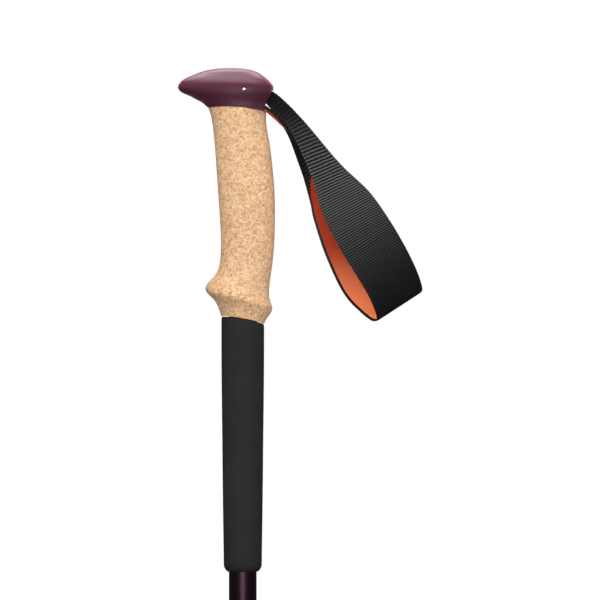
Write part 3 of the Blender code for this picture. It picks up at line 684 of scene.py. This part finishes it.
def webbing_section(share):
    rib = share * ribs[-1]
    place, wide, thick, centre, sideways, out = strap_at(rib)
    swell = 0.5 + 0.5 * math.cos(math.tau * rib)
    height = RIB_HEIGHT - 0.08 * np.clip((22 - wide) / 4, 0, 1)
    points = []
    for column in range(FACE_COLUMNS):
        side = -1 + 2 * column / (FACE_COLUMNS - 1)
        edge = min(1.0, (1 - abs(side)) * wide / 2 / 1.1)
        rounding = 0.38 * thick * (1 - math.sqrt(max(0.0, 1 - (1 - edge) ** 2)))
        points.append((side, rounding + height * (1 - swell) * (0.35 + 0.65 * edge)))
    for column in range(BACK_COLUMNS):
        side = 1 - 2 * column / (BACK_COLUMNS - 1)
        end = 1.0 if abs(side) == 1 else 0.0
        points.append((side, thick - 0.3 * thick * end - 0.08 * swell * (1 - end)))
    return place, rib, wide / 2 - RIB_REACH + RIB_REACH * swell, centre, sideways, out, points


webbing_rows = int(ribs[-1] * POINTS_A_RIB)
webbing = ribbon("strap_web", webbing_rows, FACE_COLUMNS, BACK_COLUMNS, webbing_section)
smooth(webbing, 80)


def lining_section(share):
    """The lining lies on the webbing's back, and is sewn into it along part of the tail."""
    first = np.interp(LINING_START, along, ribs)
    last = np.interp(along[-1] - LINING_SHORT_OF_END, along, ribs)
    rib = first + (last - first) * share
    place, wide, thick, centre, sideways, out = strap_at(rib)
    tail = along[-1] - place
    sewn_in = np.clip((tail - 28) / 4, 0, 1) * np.clip((72 - tail) / 3, 0, 1)
    start = thick + 0.05 - 0.95 * sewn_in
    deep = LINING_DEPTH + 0.15 * np.clip((30 - tail) / 6, 0, 1)
    points = []
    for column in range(LINING_COLUMNS):
        points.append((-1 + 2 * column / (LINING_COLUMNS - 1), start))
    for column in range(LINING_COLUMNS):
        side = 1 - 2 * column / (LINING_COLUMNS - 1)
        edge = 0.35 if abs(side) == 1 else 0.0
        points.append((side, start + deep - edge))
    margin = 1.7 + 2.8 * np.clip((80 - tail) / 9, 0, 1) * np.clip((tail - 26) / 6, 0, 1)
    return place, rib, wide / 2 - margin, centre, sideways, out, points


lining = ribbon("strap_soft_lining", LINING_ROWS, LINING_COLUMNS, LINING_COLUMNS, lining_section)
smooth(lining, 60)

nylon = Finish("ribbed nylon webbing", Roughness=0.5, Specular_IOR_Level=0.4)
sideways_mm, along_mm, rib_count = nylon.attribute("strap_place")
ridge = (rib_count + (nylon.noise(260, 2.0) - 0.5) * 0.45).wave()
yarn = sideways_mm / 0.9 + (rib_count + 0.5).whole() * 0.5
thread = yarn.wave()
fold = float(along[middle[:, 2].argmin()])
# Painted shade: the webbing's colour is darkened near the head as a painted shadow of the head, round the
# fold as painted shade where the loop turns down, and on the back run towards its tail as painted shade
# between the two runs.
head_shadow_paint = nylon.window(along_mm, 26, 78) * 0.93 + 0.07
fold_shade_paint = nylon.window(abs(along_mm - fold), 0, 96) ** 1.5 * 0.95 + 0.05
back_run_shade_paint = 1 - nylon.window(along_mm, along[-1] - 100, along[-1] - 50) * 0.85
painted_shade = head_shadow_paint * fold_shade_paint * back_run_shade_paint
# Painted shade in the rib valleys: the valleys between the ribs are painted darker than the crests, less so
# near the head.
painted_rib_shade = nylon.window(ridge, 0.25, 0.8) * 0.8 + 0.2 * (1 - nylon.window(along_mm, 30, 70))
yarn_with_painted_shade = painted_rib_shade * (0.5 + thread * 0.5) * (0.6 + nylon.noise(1400, 3.0) * 0.8) * painted_shade
nylon.drive("Base Color", nylon.mix(yarn_with_painted_shade, (0.0035, 0.0035, 0.0038), (0.17, 0.177, 0.177)))
nylon.drive("Roughness", 0.42 + nylon.noise(800, 2.0) * 0.2)
nylon.relief((ridge * thread, 0.09 * MM), (nylon.noise(2600, 3.0), 0.03 * MM))
place_piece(webbing, nylon, None, "webbing", "strap_webbing", "strap_anchor")

suede = Finish("brushed orange lining", Roughness=0.9, Sheen_Weight=0.25, Sheen_Roughness=0.4,
               Sheen_Tint=(1.0, 0.55, 0.35, 1.0), Specular_IOR_Level=0.2)
nap = suede.noise(900, 5.0, 0.65)
shading = suede.noise(120, 3.0)
pile = suede.ramp(
    nap * 0.7 + shading * 0.3,
    (0.25, (0.56, 0.062, 0.020)),
    (0.5, (0.76, 0.112, 0.042)),
    (0.75, (0.90, 0.190, 0.085)),
)
# Painted light and shade: up to a little past the fold the lining is painted bright orange as painted light
# inside the bottom of the loop, and further up the back run it is mixed three parts to one with dark brown
# as painted shade between the two runs.
painted_lit_fold = 1 - suede.window(suede.attribute("strap_place")[1], fold + 20, fold + 64)
pile = suede.mix(painted_lit_fold * 0.85, suede.mix(0.75, pile, (0.28, 0.020, 0.007)), (1.0, 0.31, 0.13))
pits = 1 - suede.window(suede.cells(1500), 0.12, 0.3)
pits = pits * suede.window(suede.noise(600, 2.0), 0.5, 0.6)
suede.drive("Base Color", suede.mix(pits * 0.6, pile, (0.20, 0.03, 0.012)))
suede.drive("Roughness", 0.84 + nap * 0.12)
suede.relief((nap, 0.12 * MM), (suede.cells(1500), 0.04 * MM))
place_piece(lining, suede, None, "lining", "strap_lining")
lining_run = along[-1] - LINING_SHORT_OF_END - LINING_START
for piece in (webbing, lining):
    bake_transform(piece)

# ---------------------------------------------------------------------------------------------
# Tubes: three drawn aluminium tubes, anodised dark plum, each sliding in the one above. The two
# that slide have a plastic bush on top and a printed scale of plain lines.
# ---------------------------------------------------------------------------------------------


def lathe(name, profile, vertices=96):
    """A round piece: a circle pulled along the axis and sized to each (radius, height)."""
    bpy.ops.object.select_all(action="DESELECT")
    radius, height = profile[0]
    bpy.ops.mesh.primitive_circle_add(vertices=vertices, radius=radius, location=(0, 0, height))
    piece = bpy.context.object
    piece.name = name
    bpy.ops.object.transform_apply(location=True, rotation=True, scale=True)
    bpy.ops.object.mode_set(mode="EDIT")
    bpy.ops.mesh.select_all(action="SELECT")
    for wider, further in profile[1:] + profile[:1]:
        bpy.ops.mesh.extrude_edges_move(TRANSFORM_OT_translate={"value": (0, 0, further - height)})
        bpy.ops.transform.resize(value=(wider / radius, wider / radius, 1), center_override=(0, 0, further))
        radius, height = wider, further
    bpy.ops.object.mode_set(mode="OBJECT")
    close_up(piece)
    return piece


def anodised(name, scale_marks):
    made = Finish(name, Metallic=1.0, Roughness=0.3)
    place = made.node("ShaderNodeMapping", None, {"Vector": made.place, "Scale": (1, 1, 0.02)})
    drawn = made.noise(1500, 3.0, place=place)
    sparkle = made.noise(3500, 2.0)
    colour = made.mix(drawn * 0.5 + sparkle * 0.5, (0.078, 0.038, 0.060), (0.148, 0.082, 0.115))
    made.drive("Roughness", 0.26 + drawn * 0.1 + sparkle * 0.08)
    if scale_marks:
        x, y, z = made.parts(made.place)
        line = made.window((z * 100).wave(), 0.994, 0.997)
        band = made.window(-x, -0.0001, 0.0001) * (1 - made.window(abs(y), 0.0030, 0.0031))
        colour = made.mix(line * band, colour, (0.55, 0.55, 0.56))
    made.drive("Base Color", colour)
    made.relief((drawn, 0.01 * MM), (sparkle, 0.008 * MM))
    return made


bare_metal = anodised("plum anodised tube", False)
marked_metal = anodised("plum anodised tube with scale", True)
TUBE_WALL = 0.7 * MM
for name, body, finish_used in (
    ("upper", "handle", bare_metal),
    ("middle", "middle_section", marked_metal),
    ("lower", "lower_section", marked_metal),
):
    low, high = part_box(f"{name}_tube")
    radius = high.x
    bore = radius - TUBE_WALL
    profile = [(bore, low.z), (radius, low.z), (radius, high.z), (bore, high.z)]
    sleeve = lathe(f"{name}_section_tube", profile, 128)
    eased(sleeve, 0.15, 2, 28)
    smooth(sleeve, 32)
    place_piece(sleeve, finish_used, body, "anodised_tube", f"{name}_tube")

# ---------------------------------------------------------------------------------------------
# Clamps: a split collar of moulded plastic at the foot of each outer tube. A screw crosses the
# split into a cross pin, and a lever turns on that pin and draws the split shut with its cam.
# ---------------------------------------------------------------------------------------------
lever_plastic = Finish("plum lever plastic", Roughness=0.38, Coat_Weight=0.1)
lever_plastic.drive("Base Color", lever_plastic.mix(lever_plastic.noise(80, 3.0), (0.085, 0.025, 0.044),
                                                    (0.115, 0.036, 0.060)))
lever_plastic.drive("Roughness", 0.34 + lever_plastic.noise(900, 2.0) * 0.14)
lever_plastic.relief((lever_plastic.noise(2400, 3.0), 0.025 * MM))
brass = Finish("rolled brass", Metallic=1.0, Roughness=0.3)
brass.drive("Base Color", brass.mix(brass.noise(400, 4.0), (0.60, 0.40, 0.16), (0.76, 0.56, 0.26)))
brass.drive("Roughness", 0.24 + brass.noise(700, 3.0) * 0.22)
brass.relief((brass.noise(1800, 3.0), 0.008 * MM))

COLLAR_CLEARANCE = 0.3 * MM
SCREW_HOLE_RADIUS = 1.55 * MM
LUG_HALF_WIDTH = 5.7 * MM
SLIT_HALF_WIDTH = 1.1 * MM
PIVOT_RADIUS = 2.6 * MM
ARM_FROM, ARM_SWEEP, ARM_STEPS = -68, -104, 30


def clamp(name, carrier, outer_radius, inner_radius):
    """The collar, lever, screw, plate and pin of one clamp, round the CAD's."""

    def pierce(piece):
        """Cuts the screw's way through a piece."""
        way = bar("way", (axis.x, -THROUGH, axis.z), (axis.x, THROUGH, axis.z), SCREW_HOLE_RADIUS, 32)
        carve(piece, way)

    low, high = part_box(f"{name}_clamp_collar")
    bottom, outside = low.z, high.y
    neck = outside - 0.8 * MM
    seat = bottom + 15.7 * MM
    upper_bore, lower_bore = outer_radius + COLLAR_CLEARANCE, inner_radius + COLLAR_CLEARANCE
    profile = [(lower_bore, bottom), (neck - 0.7 * MM, bottom), (neck, bottom + 0.8 * MM), (neck, seat),
               (outside, seat + 1.2 * MM)]
    groove = seat + 6 * MM
    for number in range(4):
        profile += [(outside, groove), (outside - 0.35 * MM, groove + 0.4 * MM),
                    (outside - 0.35 * MM, groove + 1.0 * MM), (outside, groove + 1.4 * MM)]
        groove += 2.6 * MM
    profile += [(outside, high.z - 3 * MM), (outside - 1.4 * MM, high.z), (upper_bore, high.z),
                (upper_bore, seat), (lower_bore, seat)]
    collar = lathe(f"{name}_clamp_body", profile, 96)
    screw_low, screw_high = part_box(f"{name}_clamp_screw")
    axis = (screw_low + screw_high) / 2
    lug_low, lug_high = bottom + 2 * MM, 2 * axis.z - bottom - 2 * MM
    lugs = cut_sheet(f"{name}_lugs", box_outline(neck - 3.2 * MM, high.x, -LUG_HALF_WIDTH, LUG_HALF_WIDTH),
                     lug_low, lug_high, "XY")
    eased(lugs, 1.3)
    bore = bar("bore", (0, 0, bottom - 0.01), (0, 0, high.z + 0.01), neck - 1.2 * MM, 96)
    carve(lugs, bore)
    carve(collar, lugs, "UNION")
    slit_outline = box_outline(inner_radius / 2, high.x + 5 * MM, -SLIT_HALF_WIDTH, SLIT_HALF_WIDTH)
    carve(collar, cut_sheet("slit", slit_outline, bottom - 5 * MM, lug_high + 5 * MM, "XY"))
    pierce(collar)
    smooth(collar, 30)
    place_piece(collar, black, carrier, "black_plastic", f"{name}_clamp_collar")

    pin_low, pin_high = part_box(f"{name}_clamp_pin")
    pivot = (pin_low + pin_high) / 2
    pin = bar(f"{name}_clamp_pivot", (pivot.x, pivot.y, pin_low.z), (pivot.x, pivot.y, pin_high.z),
              PIVOT_RADIUS)
    pierce(pin)
    eased(pin, 0.3, 3)
    smooth(pin)
    place_piece(pin, steel, carrier, "steel", f"{name}_clamp_pin")

    plate_low, plate_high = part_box(f"{name}_clamp_plate")
    plate = bar(f"{name}_clamp_washer", (axis.x, plate_low.y, axis.z), (axis.x, plate_high.y, axis.z),
                3.8 * MM)
    eased(plate, 0.2, 3)
    pierce(plate)
    smooth(plate)
    place_piece(plate, brass, carrier, "brass", f"{name}_clamp_plate")

    lever_low, lever_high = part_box(f"{name}_clamp_lever")
    inner = outside + 1.6 * MM
    outline = arc((pivot.x, pivot.y), 4.6 * MM, 150, -240)
    for nearest, flare, shares in (
        (inner + 2.8 * MM, 1.6 * MM, np.linspace(0, 1, ARM_STEPS)),
        (inner, 1.0 * MM, np.linspace(1, 0, ARM_STEPS)),
    ):
        for share in shares:
            turn = math.radians(ARM_FROM + ARM_SWEEP * share)
            radius = nearest + flare * share**3
            outline.append((radius * math.cos(turn), radius * math.sin(turn)))
    lever = cut_sheet(f"{name}_clamp_arm", outline, lever_low.z, lever_high.z, "XY")
    eased(lever, 0.7)
    bore = bar("bore", (pivot.x, pivot.y, lever_low.z - 0.005), (pivot.x, pivot.y, lever_high.z + 0.005),
               2.9 * MM, 64)
    carve(lever, bore)
    room = 1.85 * MM
    way_outline = box_outline(pivot.x - room, pivot.x + 6.6 * MM, pivot.y - 5.2 * MM, pivot.y + 6.6 * MM)
    carve(lever, cut_sheet("way", way_outline, axis.z - room, axis.z + room, "XY"))
    smooth(lever, 40)
    place_piece(lever, lever_plastic, f"{name}_lever", "plum_plastic", f"{name}_clamp_lever")

    head_low = 6.0 * MM
    screw = bar(f"{name}_clamp_bolt", (axis.x, pivot.y - PIVOT_RADIUS, axis.z),
                (axis.x, head_low + 0.4 * MM, axis.z), 1.2 * MM, 48)
    cap = bar("cap", (axis.x, head_low, axis.z), (axis.x, screw_high.y, axis.z), 2.8 * MM, 64)
    eased(cap, 0.35)
    carve(screw, cap, "UNION")
    socket = bar("socket", (axis.x, head_low + 0.8 * MM, axis.z), (axis.x, screw_high.y + 0.001, axis.z),
                 1.4 * MM, 6)
    carve(screw, socket)
    smooth(screw)
    place_piece(screw, steel, f"{name}_screw", "steel", f"{name}_clamp_screw")


tube_names = ("upper_tube", "middle_tube", "lower_tube")
upper_radius, middle_radius, lower_radius = (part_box(name)[1].x for name in tube_names)
clamp("upper", "handle", upper_radius, middle_radius)
clamp("lower", "middle_section", middle_radius, lower_radius)

# ---------------------------------------------------------------------------------------------
# Ferrule and basket: a tapered sleeve of tough black plastic glued on the lowest tube, with a
# holed trekking basket snapped on its waist.
# ---------------------------------------------------------------------------------------------
ferrule_low, ferrule_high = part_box("tip_ferrule")
basket_low, basket_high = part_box("basket")
sleeve_radius = ferrule_high.x
HOLDER_BORE = 3.6 * MM
profile = [(HOLDER_BORE, ferrule_low.z), (5.4 * MM, ferrule_low.z), (6.4 * MM, basket_low.z - 6 * MM),
           (7.0 * MM, basket_low.z - 2 * MM), (7.0 * MM, basket_low.z + 14 * MM)]
ring = basket_low.z + 17 * MM
waist = 7.3 * MM
for number in range(6):
    profile += [(waist + 0.3 * MM, ring), (waist + 0.5 * MM, ring + 0.5 * MM),
                (waist + 0.5 * MM, ring + 1.5 * MM), (waist + 0.2 * MM, ring + 2.0 * MM)]
    ring += 3.2 * MM
    waist += 0.1 * MM
profile += [(sleeve_radius, ring + 2 * MM), (sleeve_radius, ferrule_high.z - 2 * MM),
            (sleeve_radius - 0.7 * MM, ferrule_high.z), (7.3 * MM, ferrule_high.z), (7.3 * MM, 60 * MM),
            (HOLDER_BORE, 60 * MM)]
ferrule = lathe("tip_sleeve", profile)
smooth(ferrule, 30)
place_piece(ferrule, black, "lower_section", "black_plastic", "tip_ferrule")

hub_bore, hub, rim = 7.3 * MM, 10.0 * MM, basket_high.x
disc = basket_low.z + 2 * MM
profile = [(hub_bore, basket_low.z), (hub - 0.6 * MM, basket_low.z), (hub, basket_low.z + 0.6 * MM),
           (hub, disc), (rim - 2.2 * MM, disc + 3 * MM), (rim - 0.8 * MM, disc + 2.3 * MM),
           (rim, disc + 3.4 * MM), (rim - 0.2 * MM, disc + 5.0 * MM), (rim - 1.4 * MM, disc + 5.9 * MM),
           (rim - 2.6 * MM, disc + 5.2 * MM), (hub + 0.5 * MM, disc + 2.2 * MM),
           (hub - 0.2 * MM, disc + 2.8 * MM), (hub - 0.6 * MM, basket_high.z - 0.5 * MM),
           (hub - 1.1 * MM, basket_high.z), (hub_bore, basket_high.z)]
basket = lathe("trekking_basket", profile)
WINDOWS, WINDOW_CIRCLE, WINDOW_RADIUS = 6, 15.4 * MM, 3.3 * MM
for number in range(WINDOWS):
    turn = math.tau * (number + 0.3) / WINDOWS
    x, y = WINDOW_CIRCLE * math.cos(turn), WINDOW_CIRCLE * math.sin(turn)
    window = bar("window", (x, y, basket_low.z - 0.01), (x, y, basket_low.z + 0.02), WINDOW_RADIUS, 40)
    carve(basket, window)
smooth(basket, 30)
place_piece(basket, black, "lower_section", "black_plastic", "basket")

# ---------------------------------------------------------------------------------------------
# Tip: a steel holder pressed into the ferrule, and in its end a short rod of sintered carbide
# with a hollow ground face and four notches that bite on rock.
# ---------------------------------------------------------------------------------------------
AXIS = 0.02 * MM
profile = [(AXIS, 10.1 * MM), (2.2 * MM, 10.1 * MM), (2.2 * MM, 5.0 * MM), (2.9 * MM, 5.0 * MM),
           (4.1 * MM, 8.5 * MM), (4.9 * MM, 10.0 * MM), (4.9 * MM, 12.6 * MM), (4.6 * MM, 14.0 * MM),
           (3.3 * MM, 14.0 * MM), (3.3 * MM, 26.0 * MM), (AXIS, 26.0 * MM)]
holder = lathe("tip_steel_holder", profile)
smooth(holder, 30)
place_piece(holder, steel, "lower_section", "steel", "tip_holder")

carbide = Finish("sintered carbide", Metallic=1.0, Roughness=0.42)
carbide.drive("Base Color", carbide.mix(carbide.noise(900, 4.0), (0.22, 0.22, 0.24), (0.38, 0.38, 0.40)))
carbide.drive("Roughness", 0.36 + carbide.noise(1300, 3.0) * 0.2)
carbide.relief((carbide.noise(2500, 3.0), 0.02 * MM))
profile = [(AXIS, 1.0 * MM), (1.0 * MM, 0.7 * MM), (1.5 * MM, 0.0), (1.75 * MM, 0.0),
           (1.9 * MM, 0.4 * MM), (1.9 * MM, 9.7 * MM), (AXIS, 9.7 * MM)]
tip = lathe("tip_point", profile, 64)
for turn in (45, 135):
    x, y = 3 * MM * math.cos(math.radians(turn)), 3 * MM * math.sin(math.radians(turn))
    carve(tip, bar("notch", (x, y, 0), (-x, -y, 0), 0.45 * MM, 24))
smooth(tip, 30)
place_piece(tip, carbide, "lower_section", "carbide", "carbide_tip")

# ---------------------------------------------------------------------------------------------
# The studio: a pale floor low enough for the pole drawn out to its full length, soft lamps above
# and beside the pole, and the camera at grip height.
# ---------------------------------------------------------------------------------------------
bpy.ops.object.select_all(action="DESELECT")
FLOOR_RADIUS, FLOOR_HEIGHT = 12.0, -0.66
bpy.ops.mesh.primitive_circle_add(vertices=128, radius=FLOOR_RADIUS, fill_type="NGON",
                                  location=(0, 0, FLOOR_HEIGHT))
floor = bpy.context.object
floor.name = "studio_floor"
paper = Finish("pale paper", Roughness=0.9, Emission_Color=(1.0, 1.0, 1.0, 1.0), Emission_Strength=0.93)
paper.drive("Base Color", paper.mix(paper.noise(4, 2.0), (0.20, 0.20, 0.20), (0.22, 0.22, 0.22)))
floor.data.materials.append(paper.material)
floor.visible_diffuse = False
floor.visible_glossy = False


def lamp(name, place, aim, size, power, mirrored=True):
    light = bpy.data.lights.new(name, "AREA")
    light.shape = "RECTANGLE"
    light.size, light.size_y = size
    light.energy = power
    made = bpy.data.objects.new(name, light)
    bpy.context.scene.collection.objects.link(made)
    made.location = place
    made.rotation_euler = (Vector(aim) - Vector(place)).to_track_quat("-Z", "Y").to_euler()
    made.visible_glossy = mirrored
    return made


grip_middle = (0.02, 0.0, 0.52)
lamp("key", (-0.1, -0.75, 1.9), grip_middle, (1.0, 0.8), 19, False)
lamp("front", (0.0, -1.7, 0.42), grip_middle, (0.9, 0.9), 6.5)
lamp("left", (-1.0, -0.7, 0.6), grip_middle, (0.6, 1.0), 6, False)
lamp("right", (1.1, -0.6, 0.6), grip_middle, (0.6, 1.0), 7.5, False)
lamp("low", (0.0, -1.0, 0.12), grip_middle, (1.0, 0.5), 1.5, False)
lamp("back", (0.2, 1.4, 0.7), grip_middle, (1.0, 0.8), 10, False)
linked_lamps = (
    (head, lamp("overhead", (-0.02, 0.2, 0.92), (0, 0, 0.6), (0.4, 0.12), 1.4)),
    (head, lamp("brow", (-0.02, -0.08, 0.95), (0, 0, 0.6), (0.4, 0.2), 1.6)),
    (head, lamp("crown", (0.0, 0.8, 0.9), (0, 0, 0.6), (1.0, 0.5), 0.7)),
    (lining, lamp("loop", (-0.35, -0.7, 1.0), (0.08, 0, 0.49), (0.3, 0.3), 2.8, False)),
)
for piece, made in linked_lamps:
    lit = bpy.data.collections.new(f"lit by the {made.name} lamp")
    lit.objects.link(piece)
    made.light_linking.receiver_collection = lit

world = bpy.data.worlds.new("studio")
bpy.context.scene.world = world
world.use_nodes = True
tree = world.node_tree
surround = tree.nodes["Background"]
surround.inputs["Color"].default_value = (1, 1, 1, 1)
path = tree.nodes.new("ShaderNodeLightPath")
strength = tree.nodes.new("ShaderNodeMapRange")
strength.inputs["To Min"].default_value = 0.06
strength.inputs["To Max"].default_value = 1.0
tree.links.new(path.outputs["Is Camera Ray"], strength.inputs["Value"])
tree.links.new(strength.outputs["Result"], surround.inputs["Strength"])
bpy.context.scene.view_settings.view_transform = "Standard"

camera = bpy.data.cameras.new("camera")
camera.lens = 369.2
camera.clip_end = 50
eye = bpy.data.objects.new("camera", camera)
bpy.context.scene.collection.objects.link(eye)
eye.location = (0.0372, -4.0, 0.4695)
eye.rotation_euler = (math.radians(90), 0, 0)
bpy.context.scene.camera = eye
